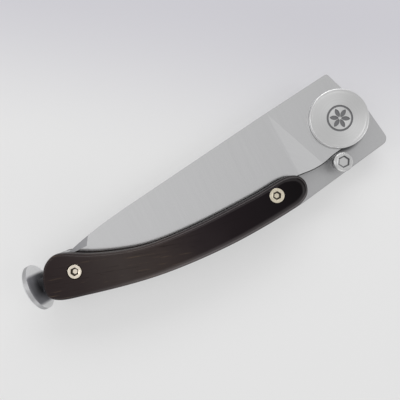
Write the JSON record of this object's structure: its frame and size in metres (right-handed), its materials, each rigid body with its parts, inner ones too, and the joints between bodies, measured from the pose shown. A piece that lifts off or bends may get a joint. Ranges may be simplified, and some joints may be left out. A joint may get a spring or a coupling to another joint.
{
  "type": "folding pipe knife",
  "caption": "Folding pipe knife: wide flat-ground blade on a disc-capped pivot, curved black wood scales on a steel frame plate, and a round tamper foot at the butt.",
  "frame": {"origin": "middle of the closed knife's footprint, on the face of the back scale that it lies on", "axes": "+X along the handle from the tamper to the pivot, +Y towards the spine of the closed blade, +Z out of the front scale"},
  "size_m": [0.1096, 0.0302, 0.0135],
  "materials": {
    "ebony": "oiled and buffed dark heartwood",
    "plate_steel": "fine satin",
    "blade_steel": "satin ground",
    "tamper_steel": "turned satin",
    "disc_steel": "turned satin with a polished rim",
    "screw_steel": "turned",
    "nickel": "nickel silver, polished",
    "bronze": "phosphor bronze"
  },
  "bodies": {
    "handle": {"front_scale": "ebony", "back_scale": "ebony", "frame_plate": "plate_steel", "spacer": "plate_steel", "tamper": "tamper_steel", "pivot_disc": "disc_steel", "pivot_sleeve": "screw_steel", "pivot_screw": "screw_steel", "back_washer": "bronze", "front_washer": "bronze", "stop_screw": "screw_steel", "spacer_dowel": "screw_steel", "tamper_dowel": "screw_steel", "front_fore_screw": "nickel", "back_fore_screw": "nickel", "fore_sleeve": "nickel", "front_aft_screw": "nickel", "back_aft_screw": "nickel", "aft_sleeve": "nickel"},
    "blade": {"blade": "blade_steel"}
  },
  "joints": [
    {"name": "blade_pivot", "type": "hinge", "parent": "handle", "child": "blade", "pos_m": [0.04323, 0.00237, 0.00835], "axis": [0, 0, -1], "range_deg": [0, 172.5]}
  ]
}
